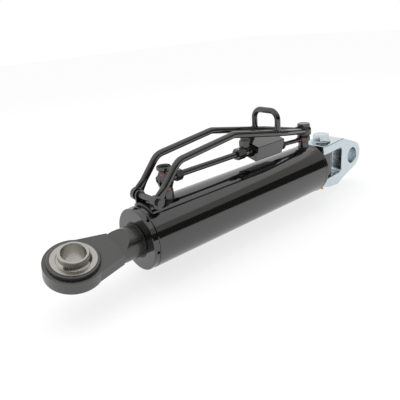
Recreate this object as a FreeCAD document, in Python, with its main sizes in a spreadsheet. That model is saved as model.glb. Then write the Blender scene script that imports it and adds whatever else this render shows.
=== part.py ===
import FreeCAD, Part
import math
import os
import Sketcher

# Hydraulic top link for a tractor's three-point hitch, in millimetres.
# The origin is the centre of the tractor pin. +Z is up and the cylinder lies along -X,
# so the implement's ball eye is at the far end of -X. The rod is fully retracted.

# ---------------------------------------------------------------- driving sizes

SIZES = {
    # knuckle between the tractor pin and the swivel bolt
    "pin_bore": 32.2,
    "nose_rad": 28.5,
    "tongue_width": 45.0,
    "arm_width": 57.0,
    "taper_from": 92.0,
    "taper_to": 30.0,
    "pin_to_swivel": 80.0,
    "arm_reach": 28.5,
    "arm_corner": 6.0,
    "fork_top": 27.0,
    "fork_bottom": 24.0,
    "fork_depth": 41.0,
    "fork_round": 8.0,
    "arm_thick": 17.0,
    "low_arm_thick": 14.0,
    "crest_x": 36.0,
    "crest_drop": 3.0,
    "upper_slope": 20.7,
    "lower_slope": 19.0,
    "heel_x": 54.5,
    "heel_depth": 49.0,
    "sole_x": 86.5,
    "sole_depth": 44.5,
    "knuckle_round": 1.6,
    "pin_edge": 1.0,
    # swivel bolt, washers, bush and grease nipple
    "bolt_od": 20.0,
    "bolt_gap": 0.3,
    "bolt_hex": 30.0,
    "bolt_hex_tall": 12.5,
    "bolt_end": 46.0,
    "washer_rad": 18.5,
    "washer_thick": 3.0,
    "thrust_thick": 1.2,
    "thrust_rad": 17.0,
    "face_gap": 0.15,
    "bush_wall": 3.0,
    "run_gap": 0.06,
    "nipple_hex": 9.0,
    "nipple_hex_tall": 4.5,
    "nipple_reach": 15.0,
    "nipple_rad": 2.6,
    "nipple_lean": 40.0,
    # barrel and its rear cap
    "barrel_od": 95.0,
    "barrel_wall": 7.5,
    "barrel_length": 388.55,
    "swivel_to_barrel": 39.5,
    "lug_rad": 22.0,
    "cap_flange": 6.2,
    "cap_plug": 28.0,
    "seam": 0.8,
    "oil_way": 9.0,
    "cap_way": 11.0,
    # gland and the seals in it
    "gland_rim": 9.75,
    "gland_length": 50.0,
    "gland_step": 0.6,
    "spanner_x": 6.0,
    "spanner_od": 4.8,
    "spanner_depth": 5.5,
    "spanner_holes": 6,
    "spanner_turn": 38.0,
    "wiper_length": 7.0,
    "wiper_wall": 5.0,
    "seal_length": 9.0,
    "seal_wall": 6.0,
    "guide_length": 12.0,
    "guide_wall": 2.5,
    "o_ring_wall": 3.0,
    "o_ring_length": 4.2,
    "land": 4.0,
    "rod_gap": 0.25,
    # rod, piston and nut
    "rod_od": 45.0,
    "rod_showing": 2.0,
    "stud_od": 30.0,
    "piston_length": 35.0,
    "piston_gap": 0.3,
    "ring_wall": 4.0,
    "piston_seal": 12.0,
    "piston_guide": 6.0,
    "piston_land": 2.75,
    "nut_hex": 46.0,
    "nut_length": 18.0,
    "end_gap": 1.0,
    # rod eye
    "eye_roll": 20.3,
    "eye_to_face": 97.6,
    "eye_rad": 40.3,
    "eye_thick": 18.6,
    "hub_rad": 34.8,
    "hub_thick": 27.0,
    "hub_edge": 1.0,
    "flat_end": 62.7,
    "flat_half": 25.1,
    "shank_od": 49.0,
    "step_run": 18.0,
    "shank_edge": 1.2,
    # ball joint
    "ball_bore": 32.2,
    "ball_width": 51.0,
    "ball_rad": 27.6,
    "ball_gap": 0.08,
    "collar_rad": 20.6,
    "collar_edge": 0.8,
    "race_rad": 30.4,
    "race_width": 28.8,
    # ports and hollow bolts
    "front_port_x": 62.0,
    "rear_port_inset": 16.5,
    "hollow_bolt_od": 14.0,
    "hollow_bolt_bore": 6.0,
    "hollow_bolt_gap": 0.2,
    "front_bolt_grip": 11.0,
    "rear_bolt_grip": 10.0,
    "seal_ring_rad": 9.4,
    "seal_ring_thick": 1.5,
    "front_boss_rad": 10.5,
    "front_boss_tall": 13.0,
    "front_banjo_rad": 14.0,
    "front_banjo_neck": 10.0,
    "front_banjo_tall": 21.0,
    "socket_rad": 7.0,
    "socket_reach": 17.0,
    "spigot_rad": 6.4,
    "spigot_length": 7.0,
    "front_neck_rad": 8.8,
    "front_neck_tall": 5.5,
    "front_head_rad": 11.0,
    "front_head_tall": 6.0,
    "rear_boss_rad": 9.5,
    "rear_boss_tall": 10.5,
    "rear_banjo_rad": 12.3,
    "rear_banjo_tall": 8.0,
    "rear_socket_rad": 4.9,
    "rear_socket_reach": 18.0,
    "sleeve_rad": 14.3,
    "sleeve_tall": 16.5,
    "rear_head_rad": 12.0,
    "rear_head_tall": 7.0,
    # transfer pipe, tee, valve block and stub pipe
    "pipe_rise": 28.2,
    "pipe_od": 10.0,
    "pipe_wall": 1.5,
    "front_nut_hex": 16.0,
    "front_nut_length": 12.0,
    "rear_nut_hex": 18.0,
    "rear_nut_length": 16.0,
    "tee_to_port": 158.5,
    "pipe_short": 7.5,
    "tee_shoulder": 5.5,
    "tee_rad": 9.3,
    "tee_hex": 20.0,
    "tee_hex_length": 6.0,
    "tee_branch": 10.0,
    "tee_bore": 7.0,
    "hose_hex": 17.0,
    "hose_hex_tall": 10.0,
    "hose_thread_od": 14.0,
    "hose_thread_tall": 6.0,
    "hose_bore": 8.0,
    "tee_to_block": 10.5,
    "block_length": 66.0,
    "block_depth": 38.0,
    "block_tall": 27.0,
    "block_roll": 15.0,
    "block_edge": 0.8,
    "block_port": 15.0,
    "block_port_deep": 10.0,
    "back_port_x": 50.0,
    "back_port_drop": 4.0,
    "stub_y": -3.0,
    "stub_drop": 9.2,
    "stub_od": 8.0,
    "stub_wall": 1.2,
    "stub_neck": 10.0,
    "stub_neck_length": 6.0,
    "stub_hex": 14.0,
    "stub_hex_length": 12.0,
    # carrying handle
    "bar_od": 11.0,
    "bar_half": 26.0,
    "bar_bend": 24.0,
    "foot_x": 27.1,
    "foot_rise": 9.5,
    "knee_x": 69.7,
    "knee_rise": 58.5,
    "crown_x": 179.8,
    "crown_rise": 71.7,
    "waist_to_port": 84.5,
    "waist_rise": 48.0,
    "heel_half": 7.0,
    "end_rise": 32.0,
    "paddle_rad": 9.8,
    "paddle_thick": 8.0,
    "paddle_loft": 22.0,
    "flare_step": 0.32,
    "tube_od": 10.0,
    "handle_bolt": 6.0,
    "handle_gap": 0.2,
    "handle_hex": 10.0,
    "handle_hex_tall": 4.0,
    "saddle_half": 24.0,
    "saddle_plate": 2.5,
    "saddle_length": 16.0,
    "saddle_ear_in": 17.0,
    "saddle_ear_thick": 3.0,
    "saddle_ear_rad": 8.0,
    # hose guide over the handle
    "guide_od": 10.0,
    "guide_to_port": 105.0,
    "guide_rise": 88.5,
    "guide_bend": 15.0,
}


class Size:
    """A size as a number together with the sheet expression that gives it."""

    def __init__(self, text, value):
        self.text = text
        self.value = value

    def __add__(self, other):
        other = as_size(other)
        return Size("(%s + %s)" % (self.text, other.text), self.value + other.value)

    def __sub__(self, other):
        other = as_size(other)
        return Size("(%s - %s)" % (self.text, other.text), self.value - other.value)

    def __mul__(self, other):
        other = as_size(other)
        return Size("(%s * %s)" % (self.text, other.text), self.value * other.value)

    def __truediv__(self, other):
        other = as_size(other)
        return Size("(%s / %s)" % (self.text, other.text), self.value / other.value)

    def __neg__(self):
        return Size("(0 - %s)" % self.text, -self.value)

    def __rsub__(self, other):
        return as_size(other) - self


def as_size(number):
    """Wraps a plain number as a Size and leaves a Size as it is."""
    if isinstance(number, Size):
        return number
    return Size(repr(float(number)), float(number))


def sine(angle):
    """Sine of a Size in degrees."""
    return Size("sin(%s * 1 deg)" % angle.text, math.sin(math.radians(angle.value)))


def cosine(angle):
    """Cosine of a Size in degrees."""
    return Size("cos(%s * 1 deg)" % angle.text, math.cos(math.radians(angle.value)))


def leg(long_side, other_side):
    """The third side of a right triangle, from its long side and one short side."""
    text = "sqrt(%s * %s - %s * %s)" % (long_side.text, long_side.text, other_side.text, other_side.text)
    return Size(text, math.sqrt(long_side.value ** 2 - other_side.value ** 2))


class Sheet:
    """The document's spreadsheet. Each alias is read as an attribute and gives a Size."""

    def __init__(self, sizes):
        self.sheet = doc.addObject("Spreadsheet::Sheet", "sizes")
        for row, (alias, number) in enumerate(sizes.items(), start=1):
            self.sheet.set("A%d" % row, alias.replace("_", " "))
            self.sheet.set("B%d" % row, repr(number))
            self.sheet.setAlias("B%d" % row, alias)
        doc.recompute()

    def __getattr__(self, alias):
        return Size("sizes." + alias, float(self.sheet.get(alias)))


doc = FreeCAD.newDocument("TopLink")
S = Sheet(SIZES)
PARTS = []
X_DIR = FreeCAD.Vector(1, 0, 0)
Y_DIR = FreeCAD.Vector(0, 1, 0)
Z_DIR = FreeCAD.Vector(0, 0, 1)

# Places along the link, from the tractor pin towards the eye.
SWIVEL_X = -S.pin_to_swivel
BARREL_X = SWIVEL_X - S.swivel_to_barrel
SEAM_X = BARREL_X - S.cap_flange
TUBE_X = SEAM_X - S.barrel_length
FACE_X = TUBE_X - S.gland_rim
EYE_X = FACE_X - S.eye_to_face
PLUG_X = BARREL_X - S.cap_plug
STUD_X = PLUG_X - S.end_gap
PISTON_BACK_X = STUD_X - S.nut_length
PISTON_X = PISTON_BACK_X - S.piston_length
FRONT_PORT_X = FACE_X + S.front_port_x
REAR_PORT_X = BARREL_X - S.rear_port_inset
TEE_X = REAR_PORT_X - S.tee_to_port
BLOCK_X = TEE_X + S.tee_to_block
BLOCK_END_X = BLOCK_X + S.block_length
FOOT_X = FACE_X + S.foot_x
CROWN_X = FACE_X + S.crown_x
WAIST_X = REAR_PORT_X - S.waist_to_port
GUIDE_X = REAR_PORT_X - S.guide_to_port
PIPE_END_X = TEE_X - S.pipe_short

# Radii and heights that several sub-parts share.
BARREL_RAD = S.barrel_od / 2
BORE_RAD = BARREL_RAD - S.barrel_wall
ROD_RAD = S.rod_od / 2
BOLT_RAD = S.bolt_od / 2
LUG_TOP = S.fork_top - S.thrust_thick - S.face_gap
LUG_LOW = S.fork_bottom - S.thrust_thick - S.face_gap
KNUCKLE_TOP = S.fork_top + S.arm_thick
HOLLOW_RAD = S.hollow_bolt_od / 2
HOLLOW_HOLE = HOLLOW_RAD + S.hollow_bolt_gap
FRONT_BOSS_TOP = BARREL_RAD + S.front_boss_tall
REAR_BOSS_TOP = BARREL_RAD + S.rear_boss_tall
FRONT_BANJO_Z = FRONT_BOSS_TOP + S.seal_ring_thick
FRONT_NECK_Z = FRONT_BANJO_Z + S.front_banjo_tall + S.seal_ring_thick
REAR_BANJO_Z = REAR_BOSS_TOP + S.seal_ring_thick
SLEEVE_Z = REAR_BANJO_Z + S.rear_banjo_tall + S.seal_ring_thick
REAR_HEAD_Z = SLEEVE_Z + S.sleeve_tall
SOCKET_X = FRONT_PORT_X + S.socket_reach
TEE_HEX_X = BLOCK_X - S.tee_hex_length
TEE_START_X = TEE_X - S.tee_shoulder
PIPE_RAD = S.pipe_od / 2
PIPE_Z = BARREL_RAD + S.pipe_rise
FOOT_Z = BARREL_RAD + S.foot_rise
CROWN_Z = BARREL_RAD + S.crown_rise
WAIST_Z = BARREL_RAD + S.waist_rise
STUB_Z = PIPE_Z - S.stub_drop


# ---------------------------------------------------------------- helpers

def keep(part, label):
    """Registers a finished sub-part under the name of its node."""
    part.Label = label
    PARTS.append(part)
    return part


def place(part, x=0.0, y=0.0, z=0.0, turn=None, about=X_DIR):
    """Binds the part's position to sizes, with a turn in degrees about an axis if one is given."""
    if turn is not None:
        part.Placement = FreeCAD.Placement(FreeCAD.Vector(), FreeCAD.Rotation(about, 1.0))
        part.setExpression("Placement.Rotation.Angle", as_size(turn).text)
    for axis, size in (("x", x), ("y", y), ("z", z)):
        part.setExpression("Placement.Base." + axis, as_size(size).text)
    return part


def new_sketch(body, role, name):
    """A sketch flat on one of the body's own origin planes."""
    sketch = body.newObject("Sketcher::SketchObject", name)
    plane = [o for o in body.Origin.OriginFeatures if o.Role == role][0]
    sketch.AttachmentSupport = [(plane, "")]
    sketch.MapMode = "FlatFace"
    return sketch


def rule(sketch, label, constraint, size):
    """Adds a named constraint that follows a size."""
    sketch.renameConstraint(sketch.addConstraint(constraint), label)
    sketch.setExpression("Constraints." + label, size.text)


def arc_between(start, end, radius):
    """The minor arc from start to end. A positive radius puts its centre on the left of the way."""
    along = end - start
    half = along.Length / 2
    height = math.sqrt(max(radius * radius - half * half, 0.0))
    left = FreeCAD.Vector(-along.y, along.x, 0) / along.Length
    side = 1.0 if radius > 0 else -1.0
    centre = (start + end) / 2 + left * height * side
    first, last = (start, end) if radius > 0 else (end, start)
    first_angle = math.atan2(first.y - centre.y, first.x - centre.x)
    last_angle = math.atan2(last.y - centre.y, last.x - centre.x)
    if last_angle < first_angle:
        last_angle += 2 * math.pi
    return Part.ArcOfCircle(Part.Circle(centre, Z_DIR, abs(radius)), first_angle, last_angle)


def outline(body, role, points, name, closed=True):
    """A sketch of lines and arcs whose corners are all bound to sizes.

    A point is (u, v), or (u, v, radius) where an arc of that radius leads on to the next point.
    """
    sketch = new_sketch(body, role, name)
    points = [tuple(as_size(c) for c in point) for point in points]
    corners = [FreeCAD.Vector(p[0].value, p[1].value, 0) for p in points]
    count = len(points) if closed else len(points) - 1
    ends = []
    for index in range(count):
        start = corners[index]
        end = corners[(index + 1) % len(points)]
        if len(points[index]) == 3:
            radius = points[index][2]
            sketch.addGeometry(arc_between(start, end, radius.value), False)
            ends.append((1, 2) if radius.value > 0 else (2, 1))
        else:
            sketch.addGeometry(Part.LineSegment(start, end), False)
            ends.append((1, 2))
    for index in range(count if closed else count - 1):
        after = (index + 1) % count
        sketch.addConstraint(Sketcher.Constraint("Coincident", index, ends[index][1], after, ends[after][0]))
    for index, point in enumerate(points):
        line = min(index, count - 1)
        tip = ends[line][0] if index < count else ends[line][1]
        rule(sketch, "u%d" % index, Sketcher.Constraint("DistanceX", -1, 1, line, tip, point[0].value), point[0])
        rule(sketch, "v%d" % index, Sketcher.Constraint("DistanceY", -1, 1, line, tip, point[1].value), point[1])
        if len(point) == 3:
            radius = point[2] if point[2].value > 0 else -point[2]
            rule(sketch, "r%d" % index, Sketcher.Constraint("Radius", index, radius.value), radius)
    return sketch


def circle(body, role, radius, name, u=0.0, v=0.0):
    """A sketch of one circle with its centre and radius bound to sizes."""
    sketch = new_sketch(body, role, name)
    u, v, radius = as_size(u), as_size(v), as_size(radius)
    centre = FreeCAD.Vector(u.value, v.value, 0)
    sketch.addGeometry(Part.Circle(centre, Z_DIR, radius.value), False)
    rule(sketch, "u", Sketcher.Constraint("DistanceX", -1, 1, 0, 3, u.value), u)
    rule(sketch, "v", Sketcher.Constraint("DistanceY", -1, 1, 0, 3, v.value), v)
    rule(sketch, "r", Sketcher.Constraint("Radius", 0, radius.value), radius)
    return sketch


def new_body(name):
    return doc.addObject("PartDesign::Body", name)


def revolve(body, points, axis, name, cut=False):
    """Turns a profile on the XZ plane about X (H_Axis) or Z (V_Axis), to add or to cut."""
    doc.recompute()
    before = body.Shape.Volume if cut else 0.0
    sketch = outline(body, "XZ_Plane", points, name + "_profile")
    feature = body.newObject("PartDesign::Groove" if cut else "PartDesign::Revolution", name)
    feature.Profile = sketch
    feature.ReferenceAxis = (sketch, [axis])
    feature.Angle = 360
    doc.recompute()
    if cut and body.Shape.Volume > before - 0.01:
        raise RuntimeError(name + " cuts nothing")
    return feature


def turned(label, points, axis="H_Axis"):
    """A body turned from one profile."""
    body = new_body(label)
    revolve(body, points, axis, label + "_turn")
    return body


def pad(body, sketch, length, name, side="Symmetric", flip=False):
    """Pads a sketch, evenly about its plane or to one side."""
    feature = body.newObject("PartDesign::Pad", name)
    feature.Profile = sketch
    feature.SideType = side
    feature.Reversed = flip
    feature.setExpression("Length", as_size(length).text)
    return feature


def pocket(body, sketch, length, name, side="Symmetric", flip=False):
    """Cuts a sketch away and checks that material really left."""
    doc.recompute()
    before = body.Shape.Volume
    feature = body.newObject("PartDesign::Pocket", name)
    feature.Profile = sketch
    feature.SideType = side
    feature.Reversed = flip
    feature.setExpression("Length", as_size(length).text)
    doc.recompute()
    if body.Shape.Volume > before - 0.01:
        raise RuntimeError(name + " cuts nothing")
    return feature


def dress(body, kind, wanted, size, name):
    """Rounds (Fillet) or bevels (Chamfer) the edges that a test picks on the body's tip."""
    doc.recompute()
    tip = body.Tip
    names = ["Edge%d" % (i + 1) for i, edge in enumerate(tip.Shape.Edges) if wanted(edge)]
    if not names:
        raise RuntimeError(name + " finds no edge")
    feature = body.newObject("PartDesign::" + kind, name)
    feature.Base = (tip, names)
    feature.setExpression("Radius" if kind == "Fillet" else "Size", as_size(size).text)
    doc.recompute()
    return feature


def cylinder(name, radius, height, x=0.0, y=0.0, z=0.0):
    """A Part cylinder that stands on a place, along Z."""
    part = doc.addObject("Part::Cylinder", name)
    part.setExpression("Radius", as_size(radius).text)
    part.setExpression("Height", as_size(height).text)
    return place(part, x, y, z)


def rod_along(name, direction, radius, length, x=0.0, y=0.0, z=0.0):
    """A Part cylinder that starts at a place and runs along a direction."""
    part = cylinder(name, radius, length)
    part.Placement = FreeCAD.Placement(FreeCAD.Vector(), FreeCAD.Rotation(Z_DIR, direction))
    return place(part, x, y, z)


def cut(name, base, tool):
    part = doc.addObject("Part::Cut", name)
    part.Base = base
    part.Tool = tool
    return part


def fuse(name, pieces):
    part = doc.addObject("Part::MultiFuse", name)
    part.Shapes = pieces
    return part


def group(name, pieces):
    """Keeps several equal solids apart under one name."""
    part = doc.addObject("Part::Compound", name)
    part.Links = pieces
    return part


def hexagon(label, across, height, steps=(), both=False, first=30):
    """A hexagon that stands on its origin, with bevelled corners and a stepped round bore.

    Each step is (from, to, radius) along the hexagon's own axis. The first corner is turned
    from X by some degrees, so 30 puts a flat across X and 0 puts a corner there.
    """
    body = new_body(label)
    corner = across / math.sqrt(3)
    points = []
    for index in range(6):
        angle = math.radians(60 * index + first)
        points.append((corner * math.cos(angle), corner * math.sin(angle)))
    pad(body, outline(body, "XY_Plane", points, label + "_six"), height, label + "_pad", "One side")
    flat = across * 0.49
    drop = (corner + 1 - flat) * 0.55
    revolve(body, [
        (flat, height + 1),
        (flat, height),
        (corner + 1, height - drop),
        (corner + 1, height + 1),
    ], "V_Axis", label + "_bevel", True)
    if both:
        revolve(body, [
            (flat, -1.0),
            (corner + 1, -1.0),
            (corner + 1, drop),
            (flat, 0.0),
        ], "V_Axis", label + "_under_bevel", True)
    for index, (start, end, radius) in enumerate(steps):
        revolve(body, [
            (0.0, start),
            (radius, start),
            (radius, end),
            (0.0, end),
        ], "V_Axis", "%s_bore_%d" % (label, index), True)
    return body


def bent_rod(points, bend, radius):
    """A round rod along straight runs that are joined by tangent arcs."""
    edges = []
    start = points[0]
    for corner, after in zip(points[1:-1], points[2:]):
        into = (corner - start).normalize()
        away = (after - corner).normalize()
        turn = into.getAngle(away)
        reach = bend * math.tan(turn / 2)
        inward = (away - into).normalize()
        middle = corner + inward * (bend / math.cos(turn / 2) - bend)
        first = corner - into * reach
        last = corner + away * reach
        edges.append(Part.LineSegment(start, first).toShape())
        edges.append(Part.Arc(first, middle, last).toShape())
        start = last
    edges.append(Part.LineSegment(start, points[-1]).toShape())
    path = Part.Wire(edges)
    section = Part.Wire([Part.Circle(points[0], points[1] - points[0], radius).toShape()])
    return path.makePipeShell([section], True, False)


def shaped(name, shape):
    """A feature whose shape is worked out from the sheet's numbers."""
    part = doc.addObject("Part::Feature", name)
    part.Shape = shape
    part.Placement = FreeCAD.Placement()
    return part


def vector(x, y, z):
    """A point from three sizes."""
    return FreeCAD.Vector(*[as_size(size).value for size in (x, y, z)])


# ---------------------------------------------------------------- knuckle

def make_knuckle():
    """C-shaped forging: two arms for the swivel bolt and a tongue with the tractor pin's bore."""
    body = new_body("knuckle")
    front = SWIVEL_X - S.arm_reach
    wall = SWIVEL_X + S.fork_depth
    rad = S.nose_rad
    up = S.upper_slope
    down = S.lower_slope
    step_x = -(S.crest_x - S.crest_drop * 2)
    low = -(S.fork_bottom + S.low_arm_thick)
    pad(body, outline(body, "XZ_Plane", [
        (front, KNUCKLE_TOP),
        (-S.crest_x, KNUCKLE_TOP),
        (step_x, (rad - step_x * sine(up)) / cosine(up)),
        (rad * sine(up), rad * cosine(up), -rad),
        (rad, 0.0, -rad),
        (rad * sine(down), -(rad * cosine(down))),
        (-S.heel_x, -S.heel_depth),
        (-S.sole_x, -S.sole_depth),
        (front, low),
        (front, -S.fork_bottom),
        (wall - S.fork_round, -S.fork_bottom, S.fork_round),
        (wall, S.fork_round - S.fork_bottom),
        (wall, S.fork_top - S.fork_round, S.fork_round),
        (wall - S.fork_round, S.fork_top),
        (front, S.fork_top),
    ], "knuckle_side"), S.arm_width, "knuckle_blank")
    arm = S.arm_width / 2
    tongue = S.tongue_width / 2
    deep = (S.heel_depth + KNUCKLE_TOP) * 2
    for sign, side in ((1, "far"), (-1, "near")):
        pocket(body, outline(body, "XY_Plane", [
            (-S.taper_from, arm * sign),
            (-S.taper_to, tongue * sign),
            (rad * 2, tongue * sign),
            (rad * 2, arm * sign * 2),
            (-S.taper_from, arm * sign * 2),
        ], "taper_plan_" + side), deep, "taper_" + side)
    pocket(body, circle(body, "XZ_Plane", S.pin_bore / 2, "pin_circle"), S.arm_width * 2, "pin_hole")
    bolt_hole = circle(body, "XY_Plane", BOLT_RAD + S.bolt_gap, "bolt_circle", SWIVEL_X)
    pocket(body, bolt_hole, deep, "bolt_hole")

    def arm_corners(edge):
        bounds = edge.BoundBox
        return bounds.YLength < 0.01 and bounds.XLength < 0.01 and bounds.XMax < front.value + 0.5

    def pin_rims(edge):
        bounds = edge.BoundBox
        return bounds.YLength < 0.01 and abs(bounds.XMax - S.pin_bore.value / 2) < 0.01

    def outline_edges(edge):
        middle = edge.valueAt((edge.FirstParameter + edge.LastParameter) / 2)
        bounds = edge.BoundBox
        outside = abs(middle.y) > tongue.value - 0.1 or middle.x < front.value + 0.1
        upright = bounds.XLength < 0.01 and bounds.YLength < 0.01
        at_wall = abs(middle.x - wall.value) < 0.1
        reach = wall.value + 0.1 if middle.z > -S.fork_bottom.value - 1 else -S.heel_x.value - 5
        return outside and middle.x < reach and (at_wall or not upright)

    dress(body, "Fillet", arm_corners, S.arm_corner, "arm_corners")
    dress(body, "Chamfer", pin_rims, S.pin_edge, "pin_rims")
    dress(body, "Fillet", outline_edges, S.knuckle_round, "outline_edges")
    return keep(body, "knuckle")


def make_swivel_bolt():
    """Hexagon-headed bolt through both arms."""
    head = hexagon("bolt_head", S.bolt_hex, S.bolt_hex_tall)
    top = KNUCKLE_TOP + S.washer_thick
    place(head, SWIVEL_X, 0.0, top)
    shank = cylinder("bolt_shank", BOLT_RAD, top + S.bolt_end, SWIVEL_X, 0.0, -S.bolt_end)
    return keep(fuse("bolt", [head, shank]), "swivel_bolt")


def make_bolt_washer():
    """Thick washer under the bolt head."""
    edge = S.washer_thick / 5
    body = turned("washer", [
        (BOLT_RAD + S.bolt_gap, 0.0),
        (S.washer_rad, 0.0),
        (S.washer_rad, S.washer_thick - edge),
        (S.washer_rad - edge, S.washer_thick),
        (BOLT_RAD + S.bolt_gap, S.washer_thick),
    ], "V_Axis")
    place(body, SWIVEL_X, 0.0, KNUCKLE_TOP)
    return keep(body, "bolt_washer")


def make_thrust_washers():
    """Two thin bronze washers that keep the lug off the arms."""
    rings = []
    for side, start in (("upper", S.fork_top - S.thrust_thick), ("lower", -S.fork_bottom)):
        ring = turned("thrust_" + side, [
            (BOLT_RAD + S.bolt_gap, 0.0),
            (S.thrust_rad, 0.0),
            (S.thrust_rad, S.thrust_thick),
            (BOLT_RAD + S.bolt_gap, S.thrust_thick),
        ], "V_Axis")
        rings.append(place(ring, SWIVEL_X, 0.0, start))
    return keep(group("thrust_pair", rings), "thrust_washers")


def make_grease_nipple():
    """Angled brass grease nipple in the lower end of the swivel bolt."""
    base = hexagon("nipple_base", S.nipple_hex, S.nipple_hex_tall)
    low = -(S.bolt_end + S.nipple_hex_tall)
    place(base, SWIVEL_X, 0.0, low)
    neck = S.nipple_rad
    reach = S.nipple_reach
    spout = turned("nipple_spout", [
        (0.0, 0.0),
        (neck * 1.25, 0.0),
        (neck * 1.25, reach * 0.55),
        (neck * 0.8, reach * 0.68),
        (neck * 0.8, reach * 0.76),
        (neck * 1.15, reach * 0.86),
        (neck * 0.7, reach),
        (0.0, reach),
    ], "V_Axis")
    place(spout, SWIVEL_X, 0.0, low + S.nipple_hex_tall / 2, as_size(180.0) - S.nipple_lean, Y_DIR)
    return keep(fuse("nipple", [base, spout]), "grease_nipple")


# ---------------------------------------------------------------- barrel, cap and gland

def make_barrel_tube():
    """Honed steel tube with an oil port through its wall near each end."""
    body = turned("tube", [
        (TUBE_X, BORE_RAD),
        (SEAM_X, BORE_RAD),
        (SEAM_X, BARREL_RAD - S.seam),
        (SEAM_X - S.seam, BARREL_RAD),
        (TUBE_X + S.seam, BARREL_RAD),
        (TUBE_X, BARREL_RAD - S.seam),
    ])
    for end, x in (("front", FRONT_PORT_X), ("rear", REAR_PORT_X)):
        hole = circle(body, "XY_Plane", S.oil_way / 2, end + "_port", x)
        pocket(body, hole, S.barrel_od, end + "_port_hole", "One side", True)
    return keep(body, "barrel_tube")


def make_rear_cap():
    """Forged end cap: a plug in the tube, a flange, and the lug that turns on the swivel bolt."""
    body = new_body("cap")
    riser_rad = S.oil_way / 2
    way = S.cap_way / 2
    revolve(body, [
        (PLUG_X, way),
        (PLUG_X, BORE_RAD),
        (SEAM_X, BORE_RAD),
        (SEAM_X, BARREL_RAD - S.seam),
        (SEAM_X + S.seam, BARREL_RAD),
        (BARREL_X - S.seam, BARREL_RAD),
        (BARREL_X, BARREL_RAD - S.seam),
        (BARREL_X, 0.0),
        (REAR_PORT_X + way, 0.0),
        (REAR_PORT_X + way, way),
    ], "H_Axis", "cap_disc")
    lug = outline(body, "XY_Plane", [
        (SEAM_X + S.seam, -S.lug_rad),
        (SWIVEL_X, -S.lug_rad, S.lug_rad),
        (SWIVEL_X + S.lug_rad, 0.0, S.lug_rad),
        (SWIVEL_X, S.lug_rad),
        (SEAM_X + S.seam, S.lug_rad),
    ], "lug_plan")
    pad(body, lug, LUG_TOP, "lug_upper", "One side")
    pad(body, lug, LUG_LOW, "lug_lower", "One side", True)
    eye = circle(body, "XY_Plane", BOLT_RAD + S.run_gap + S.bush_wall, "lug_eye", SWIVEL_X)
    pocket(body, eye, (LUG_TOP + LUG_LOW) * 4, "lug_bore")
    riser = circle(body, "XY_Plane", riser_rad, "riser", REAR_PORT_X)
    pocket(body, riser, S.barrel_od, "riser_hole", "One side", True)
    return keep(body, "rear_cap")


def make_lug_bush():
    """Bronze bush pressed into the lug."""
    inner = BOLT_RAD + S.run_gap
    body = turned("bush", [
        (inner, -LUG_LOW),
        (inner + S.bush_wall, -LUG_LOW),
        (inner + S.bush_wall, LUG_TOP),
        (inner, LUG_TOP),
    ], "V_Axis")
    place(body, SWIVEL_X)
    return keep(body, "lug_bush")


def make_gland():
    """Screwed gland: a rim with pin-spanner holes, and grooves for wiper, seal and guide ring."""
    body = new_body("gland_body")
    centre = S.spanner_x
    face = -centre
    rim = BARREL_RAD - S.gland_step
    bore = ROD_RAD + S.rod_gap
    tube = S.gland_rim - centre
    seal = face + S.wiper_length + S.land
    guide = seal + S.seal_length + S.land
    groove = tube + S.land * 4
    back = face + S.gland_length
    revolve(body, [
        (face, ROD_RAD + S.wiper_wall),
        (face, rim - S.seam),
        (face + S.seam, rim),
        (tube - S.seam, rim),
        (tube, rim - S.seam),
        (tube, BORE_RAD),
        (groove, BORE_RAD),
        (groove, BORE_RAD - S.o_ring_wall),
        (groove + S.o_ring_length, BORE_RAD - S.o_ring_wall),
        (groove + S.o_ring_length, BORE_RAD),
        (back - S.seam * 2, BORE_RAD),
        (back, BORE_RAD - S.seam * 2),
        (back, bore),
        (guide + S.guide_length, bore),
        (guide + S.guide_length, ROD_RAD + S.guide_wall),
        (guide, ROD_RAD + S.guide_wall),
        (guide, bore),
        (seal + S.seal_length, bore),
        (seal + S.seal_length, ROD_RAD + S.seal_wall),
        (seal, ROD_RAD + S.seal_wall),
        (seal, bore),
        (face + S.wiper_length, bore),
        (face + S.wiper_length, ROD_RAD + S.wiper_wall),
    ], "H_Axis", "gland_turn")
    hole = revolve(body, [
        (0.0, rim - S.spanner_depth),
        (S.spanner_od / 2, rim - S.spanner_depth),
        (S.spanner_od / 2, rim + 1),
        (0.0, rim + 1),
    ], "V_Axis", "spanner_hole", True)
    ring = body.newObject("PartDesign::PolarPattern", "spanner_holes")
    ring.Originals = [hole]
    ring.Axis = ([o for o in body.Origin.OriginFeatures if o.Role == "X_Axis"][0], [""])
    ring.Angle = 360
    ring.setExpression("Occurrences", S.spanner_holes.text)
    body.Tip = ring
    place(body, FACE_X + centre, 0.0, 0.0, S.spanner_turn)
    return keep(body, "gland")


def rectangle_ring(label, start, length, inner, outer):
    """A ring of rectangular section around the X axis."""
    return turned(label, [
        (start, inner),
        (start + length, inner),
        (start + length, outer),
        (start, outer),
    ])


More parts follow.
